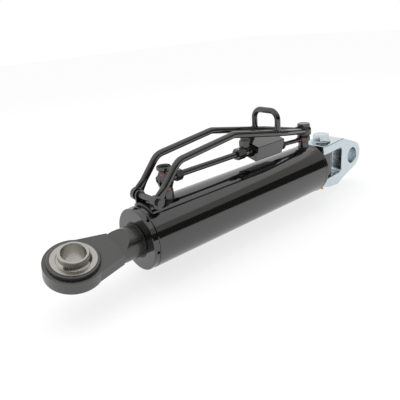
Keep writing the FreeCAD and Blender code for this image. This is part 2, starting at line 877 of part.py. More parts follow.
def make_gland_seals():
    """Wiper, seal and guide ring around the rod, and the gland's outer O-ring."""
    rub = ROD_RAD + S.run_gap
    seal = FACE_X + S.wiper_length + S.land
    guide = seal + S.seal_length + S.land
    lip = S.wiper_wall / 3
    wiper = turned("wiper", [
        (FACE_X + S.wiper_length, rub + lip),
        (FACE_X + S.wiper_length, ROD_RAD + S.wiper_wall),
        (FACE_X, ROD_RAD + S.wiper_wall),
        (FACE_X, rub + lip),
        (FACE_X - lip / 2, rub + lip / 2),
        (FACE_X - lip / 2, rub),
        (FACE_X + lip, rub + lip),
    ])
    keep(wiper, "rod_wiper")
    keep(rectangle_ring("seal", seal, S.seal_length, rub, ROD_RAD + S.seal_wall), "rod_seal")
    keep(rectangle_ring("guide", guide, S.guide_length, rub, ROD_RAD + S.guide_wall), "rod_guide_ring")
    start = TUBE_X + S.land * 4
    o_ring = rectangle_ring("o_ring", start, S.o_ring_length, BORE_RAD - S.o_ring_wall, BORE_RAD)
    keep(o_ring, "gland_o_ring")


# ---------------------------------------------------------------- rod and piston

def make_piston_rod():
    """Chromed rod with a stud behind its shoulder for the piston and its nut."""
    edge = S.seam
    stud = S.stud_od / 2
    body = turned("rod", [
        (FACE_X - S.rod_showing, 0.0),
        (FACE_X - S.rod_showing, ROD_RAD),
        (PISTON_X, ROD_RAD),
        (PISTON_X, stud),
        (STUD_X - edge, stud),
        (STUD_X, stud - edge),
        (STUD_X, 0.0),
    ])
    return keep(body, "piston_rod")


def make_piston():
    """Piston with one seal groove between two guide-ring grooves, and its three rings."""
    outer = BORE_RAD - S.piston_gap
    deep = BORE_RAD - S.ring_wall
    stud = S.stud_od / 2
    widths = (S.piston_guide, S.piston_seal, S.piston_guide)
    points = [(PISTON_X, stud), (PISTON_X, outer)]
    starts = []
    at = PISTON_X + S.piston_land
    for width in widths:
        starts.append(at)
        points += [(at, outer), (at, deep), (at + width, deep), (at + width, outer)]
        at = at + width + S.piston_land
    points += [(PISTON_BACK_X, outer), (PISTON_BACK_X, stud)]
    keep(turned("piston_body", points), "piston")
    gap = S.run_gap
    rings = []
    for name, start, width in zip(("front", "seal", "back"), starts, widths):
        rings.append(rectangle_ring("ring_" + name, start + gap, width - gap * 2, deep + gap, BORE_RAD - gap))
    keep(rings[1], "piston_seal")
    keep(group("guides", [rings[0], rings[2]]), "piston_guide_rings")


def make_piston_nut():
    """Hexagon nut that holds the piston on the stud."""
    body = hexagon("rod_nut", S.nut_hex, S.nut_length, [(-1.0, S.nut_length + 1, S.stud_od / 2)])
    place(body, PISTON_BACK_X, 0.0, 0.0, 90.0, Y_DIR)
    return keep(body, "piston_nut")


# ---------------------------------------------------------------- eye and ball joint

def make_rod_eye():
    """Forged eye: round shank, planed step, flat plate and a raised hub around the race."""
    body = new_body("eye")
    half = S.eye_thick / 2
    shank = S.shank_od / 2
    end = S.eye_to_face - S.rod_showing
    revolve(body, [
        (S.hub_rad, 0.0),
        (S.hub_rad, shank),
        (end - S.shank_edge, shank),
        (end, shank - S.shank_edge),
        (end, 0.0),
    ], "H_Axis", "eye_shank")
    for sign, side in ((1, "upper"), (-1, "lower")):
        pocket(body, outline(body, "XZ_Plane", [
            (0.0, half * sign),
            (S.flat_end, half * sign),
            (S.flat_end + S.step_run, shank * sign),
            (S.flat_end + S.step_run, shank * sign * 2),
            (0.0, shank * sign * 2),
        ], side + "_step_side"), S.shank_od * 2, side + "_step")
    rad = S.eye_rad
    lean = rad * 0.25
    side_y = leg(rad, rad - lean * 2)
    pad(body, outline(body, "XY_Plane", [
        (rad - lean * 2, -side_y, -rad),
        (-rad, 0.0, -rad),
        (rad - lean * 2, side_y),
        (S.flat_end, S.flat_half),
        (S.flat_end, -S.flat_half),
    ], "eye_plan"), S.eye_thick, "eye_plate")
    edge = S.hub_edge
    tall = S.hub_thick / 2
    revolve(body, [
        (0.0, -tall),
        (S.hub_rad - edge, -tall),
        (S.hub_rad, edge - tall),
        (S.hub_rad, tall - edge),
        (S.hub_rad - edge, tall),
        (0.0, tall),
    ], "V_Axis", "eye_hub")
    pocket(body, circle(body, "XY_Plane", S.race_rad, "race_circle"), S.hub_thick * 2, "race_bore")
    place(body, EYE_X, 0.0, 0.0, S.eye_roll)
    return keep(body, "rod_eye")


def make_ball_race():
    """Hardened ring with a spherical inside, pressed into the eye."""
    half = S.race_width / 2
    hollow = S.ball_rad + S.ball_gap
    lip = leg(hollow, half)
    body = turned("race", [
        (lip, -half),
        (S.race_rad, -half),
        (S.race_rad, half),
        (lip, half, -hollow),
    ], "V_Axis")
    place(body, EYE_X, 0.0, 0.0, S.eye_roll)
    return keep(body, "ball_race")


def make_ball():
    """Ball with a collar at each end and the implement pin's bore through it."""
    half = S.ball_width / 2
    bore = S.ball_bore / 2
    edge = S.collar_edge
    shoulder = leg(S.ball_rad, S.collar_rad)
    body = turned("ball_body", [
        (bore + edge, -half),
        (S.collar_rad - edge, -half),
        (S.collar_rad, edge - half),
        (S.collar_rad, -shoulder, S.ball_rad),
        (S.collar_rad, shoulder),
        (S.collar_rad, half - edge),
        (S.collar_rad - edge, half),
        (bore + edge, half),
        (bore, half - edge),
        (bore, edge - half),
    ], "V_Axis")
    place(body, EYE_X, 0.0, 0.0, S.eye_roll)
    return keep(body, "ball")


# ---------------------------------------------------------------- ports, banjos and hollow bolts

def make_port_boss(label, x, radius, top, grip):
    """Turned boss welded on the barrel over an oil port."""
    body = turned(label + "_turn", [
        (S.oil_way / 2, BORE_RAD),
        (radius, BORE_RAD),
        (radius, top - S.seam),
        (radius - S.seam, top),
        (HOLLOW_RAD, top),
        (HOLLOW_RAD, top - grip - 1),
        (S.oil_way / 2, top - grip - 1),
    ], "V_Axis")
    place(body, x)
    core = rod_along(label + "_core", X_DIR, BARREL_RAD, radius * 4, x - radius * 2)
    return keep(cut(label + "_coped", body, core), label)


def make_sealing_washers():
    """Four copper washers, above and below each banjo."""
    thick = S.seal_ring_thick
    places = (
        ("front_low", FRONT_PORT_X, FRONT_BOSS_TOP),
        ("front_high", FRONT_PORT_X, FRONT_BANJO_Z + S.front_banjo_tall),
        ("rear_low", REAR_PORT_X, REAR_BOSS_TOP),
        ("rear_high", REAR_PORT_X, REAR_BANJO_Z + S.rear_banjo_tall),
    )
    rings = []
    for name, x, z in places:
        ring = turned("copper_" + name, [
            (HOLLOW_HOLE, 0.0),
            (S.seal_ring_rad, 0.0),
            (S.seal_ring_rad, thick),
            (HOLLOW_HOLE, thick),
        ], "V_Axis")
        rings.append(place(ring, x, 0.0, z))
    return keep(group("copper_rings", rings), "sealing_washers")


def make_front_banjo():
    """Bulged banjo over the front port, with a socket and a spigot for the pipe."""
    body = new_body("front_banjo_body")
    low = FRONT_BANJO_Z - PIPE_Z
    high = low + S.front_banjo_tall
    neck = S.front_banjo_neck
    belly = S.front_banjo_rad
    reach = S.socket_reach
    revolve(body, [
        (0.0, low),
        (neck, low),
        (neck + 0.6, low + 3),
        (belly, -1.5),
        (belly, 2.5),
        (neck, high),
        (0.0, high),
    ], "V_Axis", "banjo_turn")
    revolve(body, [
        (0.0, 0.0),
        (0.0, S.socket_rad),
        (reach, S.socket_rad),
        (reach, S.spigot_rad),
        (reach + S.spigot_length, S.spigot_rad),
        (reach + S.spigot_length, 0.0),
    ], "H_Axis", "banjo_socket")
    pocket(body, circle(body, "XY_Plane", HOLLOW_HOLE, "banjo_circle"), S.front_banjo_tall * 3, "banjo_bore")
    revolve(body, [
        (HOLLOW_RAD, 0.0),
        (HOLLOW_RAD, PIPE_RAD - S.pipe_wall),
        (reach, PIPE_RAD - S.pipe_wall),
        (reach, PIPE_RAD),
        (reach + S.spigot_length + 1, PIPE_RAD),
        (reach + S.spigot_length + 1, 0.0),
    ], "H_Axis", "banjo_way", True)
    place(body, FRONT_PORT_X, 0.0, PIPE_Z)
    return keep(body, "front_banjo")


def make_hollow_bolt(label, x, foot, cross, rest, head):
    """Hollow bolt: drilled shank with a cross hole, and a head profile that sits on its rest."""
    bore = S.hollow_bolt_bore / 2
    body = turned(label + "_turn", [
        (bore, foot),
        (HOLLOW_RAD, foot),
        (HOLLOW_RAD, rest),
    ] + head + [
        (0.0, cross + bore),
        (bore, cross + bore),
    ], "V_Axis")
    hole = circle(body, "YZ_Plane", bore, label + "_cross", 0.0, cross)
    pocket(body, hole, S.hollow_bolt_od, label + "_cross_hole")
    place(body, x)
    return keep(body, label)


def make_hollow_bolts():
    """The front bolt has a waisted round head, and the rear one clamps the handle's sleeve."""
    edge = 1.0
    rest = FRONT_NECK_Z
    low = rest + S.front_neck_tall
    top = low + S.front_head_tall
    wide = S.front_head_rad
    make_hollow_bolt("front_hollow_bolt", FRONT_PORT_X, FRONT_BOSS_TOP - S.front_bolt_grip, PIPE_Z, rest, [
        (S.front_neck_rad + edge, rest),
        (S.front_neck_rad, rest + edge * 1.5),
        (S.front_neck_rad, low - edge * 1.5),
        (wide, low + edge),
        (wide, top - edge),
        (wide - edge, top),
        (wide - edge * 3, top),
        (wide - edge * 4, top - edge),
        (0.0, top - edge),
    ])
    rest = REAR_HEAD_Z
    top = rest + S.rear_head_tall
    wide = S.rear_head_rad
    cross = REAR_BANJO_Z + S.rear_banjo_tall / 2
    make_hollow_bolt("rear_hollow_bolt", REAR_PORT_X, REAR_BOSS_TOP - S.rear_bolt_grip, cross, rest, [
        (wide - edge, rest),
        (wide, rest + edge),
        (wide, top - edge * 1.5),
        (wide - edge * 2, top),
        (0.0, top),
    ])


def make_rear_banjo():
    """Flat banjo ring over the rear port, with a socket towards the valve block."""
    body = new_body("rear_banjo_body")
    half = S.rear_banjo_tall / 2
    reach = -S.rear_socket_reach
    rad = S.rear_banjo_rad
    stub = S.stub_od / 2
    revolve(body, [
        (HOLLOW_HOLE, -half),
        (rad - 0.8, -half),
        (rad, 0.8 - half),
        (rad, half - 0.8),
        (rad - 0.8, half),
        (HOLLOW_HOLE, half),
    ], "V_Axis", "rear_banjo_turn")
    revolve(body, [
        (reach, 0.0),
        (reach, S.rear_socket_rad),
        (-(rad - 1.5), S.rear_socket_rad),
        (-(rad - 1.5), 0.0),
    ], "H_Axis", "rear_banjo_socket")
    revolve(body, [
        (reach - 1, 0.0),
        (reach - 1, stub),
        (-(rad + 1), stub),
        (-(rad + 1), stub - S.stub_wall),
        (-HOLLOW_RAD, stub - S.stub_wall),
        (-HOLLOW_RAD, 0.0),
    ], "H_Axis", "rear_banjo_way", True)
    place(body, REAR_PORT_X, 0.0, REAR_BANJO_Z + half)
    return keep(body, "rear_banjo")


def make_handle_sleeve():
    """Sleeve on the rear bolt that carries the ends of both handle bars."""
    tall = S.sleeve_tall
    rad = S.sleeve_rad
    body = turned("sleeve", [
        (HOLLOW_HOLE, 0.0),
        (rad - 3, 0.0),
        (rad, 3.0),
        (rad, tall - 4),
        (rad - 2, tall),
        (HOLLOW_HOLE, tall),
    ], "V_Axis")
    place(body, REAR_PORT_X, 0.0, SLEEVE_Z)
    return keep(body, "handle_sleeve")


# ---------------------------------------------------------------- pipe, tee and valve block

def make_transfer_pipe():
    """Hard pipe from the front banjo to the tee."""
    inner = PIPE_RAD - S.pipe_wall
    end = PIPE_END_X
    body = turned("pipe", [
        (SOCKET_X, inner),
        (end, inner),
        (end, PIPE_RAD),
        (SOCKET_X, PIPE_RAD),
    ])
    place(body, 0.0, 0.0, PIPE_Z)
    return keep(body, "transfer_pipe")


def make_pipe_nuts():
    """Union nuts at the two ends of the transfer pipe."""
    length = S.front_nut_length
    hole = PIPE_RAD + 0.1
    front = hexagon("front_nut", S.front_nut_hex, length, [
        (-1.0, S.spigot_length, S.spigot_rad),
        (S.spigot_length - 0.5, length + 1, hole),
    ])
    place(front, SOCKET_X, 0.0, PIPE_Z, 90.0, Y_DIR)
    keep(front, "front_pipe_nut")
    length = S.rear_nut_length
    rear = hexagon("rear_nut", S.rear_nut_hex, length, [
        (-1.0, S.spigot_length, S.spigot_rad),
        (S.spigot_length - 0.5, length + 1, hole),
    ])
    place(rear, TEE_START_X, 0.0, PIPE_Z, -90.0, Y_DIR)
    keep(rear, "rear_pipe_nut")


def make_tee():
    """Tee that joins the pipe, the valve block and the upper hose adapter."""
    start = TEE_START_X - TEE_X
    spigot = start - S.spigot_length
    pipe_end = PIPE_END_X - TEE_X
    block = BLOCK_X - TEE_X
    hexagon_x = TEE_HEX_X - TEE_X
    plug = block + S.block_port_deep
    body = turned("tee_body", [
        (spigot, 0.0),
        (spigot, S.spigot_rad),
        (start, S.spigot_rad),
        (start, S.tee_rad),
        (hexagon_x + 1, S.tee_rad),
        (hexagon_x + 1, S.block_port / 2),
        (plug, S.block_port / 2),
        (plug, 0.0),
    ])
    place(body, TEE_X, 0.0, PIPE_Z)
    six = hexagon("tee_six", S.tee_hex, S.tee_hex_length, (), True)
    place(six, TEE_HEX_X, 0.0, PIPE_Z, 90.0, Y_DIR)
    branch = cylinder("tee_arm", TEE_X - TEE_START_X - S.bolt_gap, S.tee_branch, TEE_X, 0.0, PIPE_Z)
    whole = fuse("tee_whole", [body, six, branch])
    bore = S.tee_bore / 2
    way = turned("tee_way", [
        (spigot - 1, 0.0),
        (spigot - 1, PIPE_RAD),
        (pipe_end, PIPE_RAD),
        (pipe_end, bore),
        (plug + 1, bore),
        (plug + 1, 0.0),
    ])
    place(way, TEE_X, 0.0, PIPE_Z)
    riser = cylinder("tee_riser", bore, S.tee_branch + 1, TEE_X, 0.0, PIPE_Z)
    return keep(cut("tee_cut", whole, fuse("tee_ways", [way, riser])), "pipe_tee")


def hose_adapter(label):
    """Hexagon adapter with a threaded end for a hose, standing on its origin."""
    six = hexagon(label + "_six", S.hose_hex, S.hose_hex_tall)
    top = S.hose_hex_tall + S.hose_thread_tall
    rad = S.hose_thread_od / 2
    bore = S.hose_bore / 2
    thread = turned(label + "_thread", [
        (0.0, S.hose_hex_tall - 2),
        (rad, S.hose_hex_tall - 2),
        (rad, top - 1),
        (rad - 1, top),
        (0.0, top),
    ], "V_Axis")
    way = turned(label + "_way", [
        (0.0, -1.0),
        (bore, -1.0),
        (bore, top - 3),
        (bore + 1.6, top + 1),
        (0.0, top + 1),
    ], "V_Axis")
    return cut(label + "_cut", fuse(label + "_whole", [six, thread]), way)


def make_hose_adapters():
    """One adapter stands on the tee and the other one is on the block's far face."""
    top = hose_adapter("upper_adapter")
    place(top, TEE_X, 0.0, PIPE_Z + S.tee_branch)
    keep(top, "upper_hose_adapter")
    back = hose_adapter("back_adapter")
    half = S.block_depth / 2
    drop = S.back_port_drop
    y = half * cosine(S.block_roll) + drop * sine(S.block_roll)
    z = half * sine(S.block_roll) - drop * cosine(S.block_roll)
    place(back, BLOCK_X + S.back_port_x, y, PIPE_Z + z, S.block_roll - 90)
    keep(back, "back_hose_adapter")


def make_valve_block():
    """Bevelled check valve block with its ports, rolled a little towards the near side."""
    body = new_body("block")
    deep = S.block_depth / 2
    tall = S.block_tall / 2
    edge = S.block_edge
    pad(body, outline(body, "YZ_Plane", [
        (-deep, edge - tall),
        (edge - deep, -tall),
        (deep - edge, -tall),
        (deep, edge - tall),
        (deep, tall - edge),
        (deep - edge, tall),
        (edge - deep, tall),
        (-deep, tall - edge),
    ], "block_end"), S.block_length, "block_pad", "One side")
    place(body, BLOCK_X, 0.0, PIPE_Z, S.block_roll)
    start = BLOCK_X - 1
    port = S.block_port / 2
    way = S.hose_bore / 2
    inlet = rod_along("block_inlet", X_DIR, port, S.block_port_deep + 1, start, 0.0, PIPE_Z)
    gallery = rod_along("block_gallery", X_DIR, way, S.back_port_x + way + 1, start, 0.0, PIPE_Z)
    side = cylinder("block_side_way", way, deep * 2)
    drop = S.back_port_drop
    side_y = drop * sine(S.block_roll)
    side_z = PIPE_Z - drop * cosine(S.block_roll)
    place(side, BLOCK_X + S.back_port_x, side_y, side_z, S.block_roll - 90)
    neck = S.stub_neck / 2
    reach = S.block_port_deep
    outlet = rod_along("block_outlet", X_DIR, neck, reach * 2, BLOCK_END_X - reach, S.stub_y, STUB_Z)
    low_way = rod_along("block_low_way", X_DIR, neck / 2, reach * 4, BLOCK_END_X - reach * 3, S.stub_y, STUB_Z)
    ways = fuse("block_ways", [inlet, gallery, side, outlet, low_way])
    return keep(cut("block_drilled", body, ways), "valve_block")


def make_stub():
    """Neck, nut and short pipe from the block to the rear banjo."""
    neck = S.stub_neck / 2
    stub = S.stub_od / 2
    inner = stub - S.stub_wall
    reach = S.block_port_deep
    nut_x = BLOCK_END_X + S.stub_neck_length
    nut_end = nut_x + S.stub_hex_length
    fitting = turned("stub_fitting_turn", [
        (-reach, inner),
        (S.stub_neck_length, inner),
        (S.stub_neck_length, neck),
        (-reach, neck),
    ])
    place(fitting, BLOCK_END_X, S.stub_y, STUB_Z)
    keep(fitting, "stub_neck")
    nut = hexagon("stub_six", S.stub_hex, S.stub_hex_length, [(-1.0, S.stub_hex_length + 1, stub)], True)
    place(nut, nut_x, S.stub_y, STUB_Z, 90.0, Y_DIR)
    keep(nut, "stub_nut")
    banjo_z = REAR_BANJO_Z + S.rear_banjo_tall / 2
    end = REAR_PORT_X - S.rear_banjo_rad - 1
    points = [
        vector(nut_x, S.stub_y, STUB_Z),
        vector(nut_end + 6, S.stub_y, STUB_Z),
        vector(REAR_PORT_X - S.rear_socket_reach - 6, 0.0, banjo_z),
        vector(end, 0.0, banjo_z),
    ]
    bend = S.stub_od.value * 2.5
    outer = bent_rod(points, bend, stub.value)
    hollow = bent_rod(points, bend, inner.value)
    return keep(shaped("stub", outer.cut(hollow)), "stub_pipe")


# ---------------------------------------------------------------- handle and hose guide

def handle_bar(side, sign):
    """Bent round bar with a flattened eye at its foot."""
    half = S.bar_half * sign
    foot = vector(FOOT_X, half, FOOT_Z)
    knee = vector(FACE_X + S.knee_x, half, BARREL_RAD + S.knee_rise)
    crown = vector(CROWN_X, half, CROWN_Z)
    waist = vector(WAIST_X, half, WAIST_Z)
    end = vector(REAR_PORT_X - S.sleeve_rad * 0.6, S.heel_half * sign, BARREL_RAD + S.end_rise)
    radius = S.bar_od.value / 2
    up = (knee - foot).normalize()
    across = up.cross(Y_DIR)
    neck = foot + up * S.paddle_loft.value
    rod = bent_rod([neck, knee, crown, waist, end], S.bar_bend.value, radius)
    low = foot + up * (S.paddle_rad.value * 0.35)
    wide = S.paddle_rad.value * 0.96
    thin = S.paddle_thick.value / 2
    slim = thin - S.flare_step.value
    ellipse = Part.Ellipse(low + across * wide, low + Y_DIR * slim, low)
    flare = Part.makeLoft([
        Part.Wire([Part.Circle(neck, up, radius).toShape()]),
        Part.Wire([ellipse.toShape()]),
    ], True)
    paddle = Part.makeCylinder(S.paddle_rad.value, thin * 2, foot - Y_DIR * thin, Y_DIR)
    hole = Part.makeCylinder(S.handle_bolt.value / 2 + S.handle_gap.value, thin * 4, foot - Y_DIR * thin * 2, Y_DIR)
    whole = rod.fuse([flare, paddle]).cut(hole).removeSplitter()
    bar = shaped("bar_" + side, whole)
    post = cylinder("post_" + side, S.sleeve_rad, S.sleeve_tall * 4, REAR_PORT_X, 0.0, SLEEVE_Z - S.sleeve_tall)
    return keep(cut("bar_coped_" + side, bar, post), "handle_bar_" + side)


def make_cross_tube():
    """Spacer tube between the feet of the two bars."""
    half = S.bar_half - S.paddle_thick / 2
    body = new_body("spacer")
    pad(body, circle(body, "XZ_Plane", S.tube_od / 2, "spacer_outside"), half * 2, "spacer_pad")
    hole = circle(body, "XZ_Plane", S.handle_bolt / 2 + S.handle_gap, "spacer_inside")
    pocket(body, hole, half * 4, "spacer_bore")
    place(body, FOOT_X, 0.0, FOOT_Z)
    return keep(body, "cross_tube")


def make_handle_bolt():
    """Long bolt through the feet and the spacer tube, and its nut on the far side."""
    out = S.bar_half + S.paddle_thick / 2
    tall = S.handle_hex_tall
    head = hexagon("handle_head", S.handle_hex, tall)
    place(head, FOOT_X, -out, FOOT_Z, 90.0)
    shank = rod_along("handle_shank", Y_DIR, S.handle_bolt / 2, (out + tall) * 2, FOOT_X, -out - tall / 2, FOOT_Z)
    keep(fuse("handle_screw", [head, shank]), "handle_bolt")
    nut = hexagon("handle_six", S.handle_hex, tall, [(-1.0, tall + 1, S.handle_bolt / 2)])
    place(nut, FOOT_X, out, FOOT_Z, -90.0)
    keep(nut, "handle_nut")


def make_saddle():
    """Curved plate on the barrel with two ears that hold the spacer tube."""
    outer = BARREL_RAD + S.saddle_plate
    length = S.saddle_length
    half = S.saddle_half
    start = FOOT_X - length / 2
    body = new_body("saddle_plate_body")
    pad(body, outline(body, "YZ_Plane", [
        (half, leg(BARREL_RAD, half), S.barrel_od / 2),
        (-half, leg(BARREL_RAD, half)),
        (-half, leg(outer, half), -outer),
        (half, leg(outer, half)),
    ], "saddle_arc"), length, "saddle_pad", "One side")
    place(body, start)
    pieces = [body]
    rad = S.saddle_ear_rad
    core = rod_along("saddle_core", X_DIR, BARREL_RAD, length * 3, start - length)
    for sign, side in ((1, "far"), (-1, "near")):
        ear = new_body("saddle_ear_" + side)
        pad(ear, outline(ear, "XZ_Plane", [
            (-rad, -(FOOT_Z - BORE_RAD)),
            (rad, -(FOOT_Z - BORE_RAD)),
            (rad, 0.0, rad),
            (0.0, rad, rad),
            (-rad, 0.0),
        ], "ear_side_" + side), S.saddle_ear_thick, "ear_pad_" + side)
        place(ear, FOOT_X, (S.saddle_ear_in + S.saddle_ear_thick / 2) * sign, FOOT_Z)
        pieces.append(ear)
    hole = rod_along("saddle_hole", Y_DIR, S.tube_od / 2, half * 3, FOOT_X, -half * 1.5, FOOT_Z)
    whole = fuse("saddle_whole", pieces)
    return keep(cut("saddle_cut", whole, fuse("saddle_tools", [core, hole])), "saddle_bracket")


def make_hose_guide(bars):
    """Bent round bar that stands on both handle bars and keeps the hoses together."""
    body = new_body("guide_body")
    half = S.bar_half
    slope = (WAIST_Z - CROWN_Z) / (WAIST_X - CROWN_X)
    base = CROWN_Z + slope * (GUIDE_X - CROWN_X)
    top = BARREL_RAD + S.guide_rise - base
    bend = S.guide_bend
    path = outline(body, "YZ_Plane", [
        (-half, 0.0),
        (-half, top - bend, -bend),
        (bend - half, top),
        (half - bend, top, -bend),
        (half, top - bend),
        (half, 0.0),
    ], "guide_path", False)
    section = circle(body, "XY_Plane", S.guide_od / 2, "guide_section", 0.0, -half)
    doc.recompute()
    pipe = body.newObject("PartDesign::AdditivePipe", "guide_pipe")
    pipe.Profile = section
    pipe.Spine = path
    place(body, GUIDE_X, 0.0, base)
    return keep(cut("guide_coped", body, fuse("guide_tools", bars)), "hose_guide")


# ---------------------------------------------------------------- assembly and export

def build():
    """Makes every sub-part."""
    make_knuckle()
    make_swivel_bolt()
    make_bolt_washer()
    make_thrust_washers()
    make_grease_nipple()
    make_barrel_tube()
    make_rear_cap()
    make_lug_bush()
    make_gland()
    make_gland_seals()
    make_piston_rod()
    make_piston()
    make_piston_nut()
    make_rod_eye()
    make_ball_race()
    make_ball()
    make_port_boss("front_port_boss", FRONT_PORT_X, S.front_boss_rad, FRONT_BOSS_TOP, S.front_bolt_grip)
    make_port_boss("rear_port_boss", REAR_PORT_X, S.rear_boss_rad, REAR_BOSS_TOP, S.rear_bolt_grip)
    make_sealing_washers()
    make_front_banjo()
    make_hollow_bolts()
    make_rear_banjo()
    make_handle_sleeve()
    make_transfer_pipe()
    make_pipe_nuts()
    make_tee()
    make_hose_adapters()
    make_valve_block()
    make_stub()
    bars = [handle_bar("near", -1), handle_bar("far", 1)]
    make_cross_tube()
    make_handle_bolt()
    make_saddle()
    make_hose_guide(bars)


def check_and_write():
    """Stops on any broken feature, then writes one STEP file for each sub-part."""
    doc.recompute()
    for item in doc.Objects:
        if "Invalid" in item.State or "Error" in item.State:
            raise RuntimeError("%s is broken: %s" % (item.Name, item.State))
    for part in PARTS:
        if part.Shape.isNull() or not part.Shape.isValid():
            raise RuntimeError(part.Label + " has no valid shape")
    os.makedirs("parts", exist_ok=True)
    for part in PARTS:
        part.Shape.exportStep("parts/%s.step" % part.Label)


build()
check_and_write()
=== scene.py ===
import math

import bmesh
import bpy
import numpy as np
from bpy.props import FloatProperty, FloatVectorProperty, PointerProperty
from bpy.types import Operator, Panel, PropertyGroup
from mathutils import Matrix, Vector


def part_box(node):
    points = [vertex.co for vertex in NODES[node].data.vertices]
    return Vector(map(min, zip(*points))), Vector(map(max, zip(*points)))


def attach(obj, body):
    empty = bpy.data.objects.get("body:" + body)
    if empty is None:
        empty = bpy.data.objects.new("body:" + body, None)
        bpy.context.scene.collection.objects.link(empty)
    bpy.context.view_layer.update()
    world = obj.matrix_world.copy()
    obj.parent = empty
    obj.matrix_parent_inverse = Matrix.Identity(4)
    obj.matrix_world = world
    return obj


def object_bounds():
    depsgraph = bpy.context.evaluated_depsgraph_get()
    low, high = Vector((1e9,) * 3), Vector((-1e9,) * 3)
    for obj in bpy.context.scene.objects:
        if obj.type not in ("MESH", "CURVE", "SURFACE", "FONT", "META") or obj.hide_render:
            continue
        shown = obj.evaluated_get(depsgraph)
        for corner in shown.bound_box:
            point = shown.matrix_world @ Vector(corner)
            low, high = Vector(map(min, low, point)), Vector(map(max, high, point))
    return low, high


bl_info = {
    "name": "Hydraulic Top Link",
    "version": (1, 0, 0),
    "blender": (4, 5, 0),
    "location": "View3D > Sidebar > Top Link",
    "description": "Finishes, weld beads, threads and a studio for a hydraulic top link",
    "category": "Object",
}

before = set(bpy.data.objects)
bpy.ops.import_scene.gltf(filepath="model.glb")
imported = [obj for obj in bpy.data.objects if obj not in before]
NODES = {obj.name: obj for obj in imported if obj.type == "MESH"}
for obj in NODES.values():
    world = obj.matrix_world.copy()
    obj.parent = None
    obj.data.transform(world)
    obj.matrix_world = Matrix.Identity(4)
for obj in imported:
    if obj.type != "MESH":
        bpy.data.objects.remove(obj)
CAD_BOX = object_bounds()

# Radii and two corners of the handle bars, and the hose adapters' threads, in metres.
BAR_RAD = 0.0055
GUIDE_RAD = 0.005
BAR_HALF = 0.026
CROWN = (-0.3442, 0.1192)
WAIST = (-0.2205, 0.0955)
BAR_END = (-0.14458, 0.007, 0.0795)
THREAD_RAD = 0.007
THREAD_LENGTH = 0.005
ADAPTER_HEX = 0.01
BACK_PORT = (-0.234, 0.019388, 0.076754)
THREAD_ROOT = 0.00015
THREAD_DEPTH = 0.0004
THREAD_INSIDE = 0.0006

# Weld beads: how far the cap's bead is sunk, and each kind's share of the set radius.
CAP_BEAD_SINK = 0.0006
CAP_BEAD_SHARE = 0.7
BEAD_SHARE = 0.8

# The studio, in metres. The flags are parts of one cylinder about Z.
FLOOR_HALF = 6.0
FLOOR_DROP = 0.004
FLOOR_WHITE_SHARE = 0.72
FLAG_RAD = 3.0
FLAG_STEPS = 48
FLAG_TURNS = (-175, 5)
FLAG_TINT = (1.0, 0.98, 0.94, 1)
FLAG_FOOT = 0.05
FLAG_MIDDLE = 1.3
FLAG_TOP = 2.6
BLACK_FLAG_LEVEL = 0.04
GREY_FLAG_LEVEL = 0.5
CAMERA_PLACE = (-0.8046, -0.5045, 0.2842)
CAMERA_RIGHT = (0.7574, -0.6482, -0.0792)
CAMERA_UP = (0.3008, 0.2387, 0.9233)

# The valve block is turned a little about the cylinder's axis.
BLOCK_ROLL = math.radians(15.0)


def linear(code):
    """Turns an sRGB hex colour into linear values."""
    parts = [int(code[i:i + 2], 16) / 255 for i in (1, 3, 5)]
    return tuple(c / 12.92 if c <= 0.04045 else ((c + 0.055) / 1.055) ** 2.4 for c in parts)


# ---------------------------------------------------------------- settings


class LinkFinishes(PropertyGroup):
    """Colours of the link's finishes."""

    gloss_paint: FloatVectorProperty(
        name="Gloss Paint", description="Black enamel on the barrel and the handle",
        subtype="COLOR", size=3, min=0, max=1, default=linear("#0D0D0C"))
    satin_black: FloatVectorProperty(
        name="Black Oxide", description="Oxide finish on adapters and small fasteners",
        subtype="COLOR", size=3, min=0, max=1, default=linear("#1B1B1A"))
    eye_paint: FloatVectorProperty(
        name="Eye Paint", description="Semi-gloss black on the forged eye",
        subtype="COLOR", size=3, min=0, max=1, default=linear("#1E1E1C"))
    zinc: FloatVectorProperty(
        name="Bright Zinc", description="Zinc plate on the knuckle and its bolt",
        subtype="COLOR", size=3, min=0, max=1, default=linear("#C8D3D8"))
    ground_steel: FloatVectorProperty(
        name="Ground Steel", description="Ball and race",
        subtype="COLOR", size=3, min=0, max=1, default=linear("#B4B2AC"))
    floor: FloatVectorProperty(
        name="Floor", description="Studio floor",
        subtype="COLOR", size=3, min=0, max=1, default=linear("#F4F4F4"))


class LinkSizes(PropertyGroup):
    """Sizes of the details that are added to the solids."""

    bead_radius: FloatProperty(
        name="Weld Bead", description="Radius of a weld bead",
        subtype="DISTANCE", unit="LENGTH", min=0.0005, max=0.005, default=0.0017)
    ripple: FloatProperty(
        name="Weld Ripple", description="Distance from one weld ripple to the next",
        subtype="DISTANCE", unit="LENGTH", min=0.0005, max=0.005, default=0.0016)
    thread_pitch: FloatProperty(
        name="Thread Pitch", description="Pitch of the hose adapters' threads",
        subtype="DISTANCE", unit="LENGTH", min=0.0005, max=0.003, default=0.0015)
    lens: FloatProperty(
        name="Lens", description="Focal length of the studio camera in millimetres",
        min=20, max=200, default=39.49)


# ---------------------------------------------------------------- materials


def add_node(material, kind, settings=None, links=None):
    """Adds one node. Settings are attributes or input values, links feed an input from another socket."""
    tree = material.node_tree
    node = tree.nodes.new(kind)
    for key, value in (settings or {}).items():
        if isinstance(key, str) and hasattr(node, key):
            setattr(node, key, value)
        else:
            node.inputs[key].default_value = value
    for key, source in (links or {}).items():
        tree.links.new(source, node.inputs[key])
    return node


def new_material(name):
    """An empty node material with an output."""
    material = bpy.data.materials.new(name)
    material.use_nodes = True
    material.node_tree.nodes.clear()
    return material


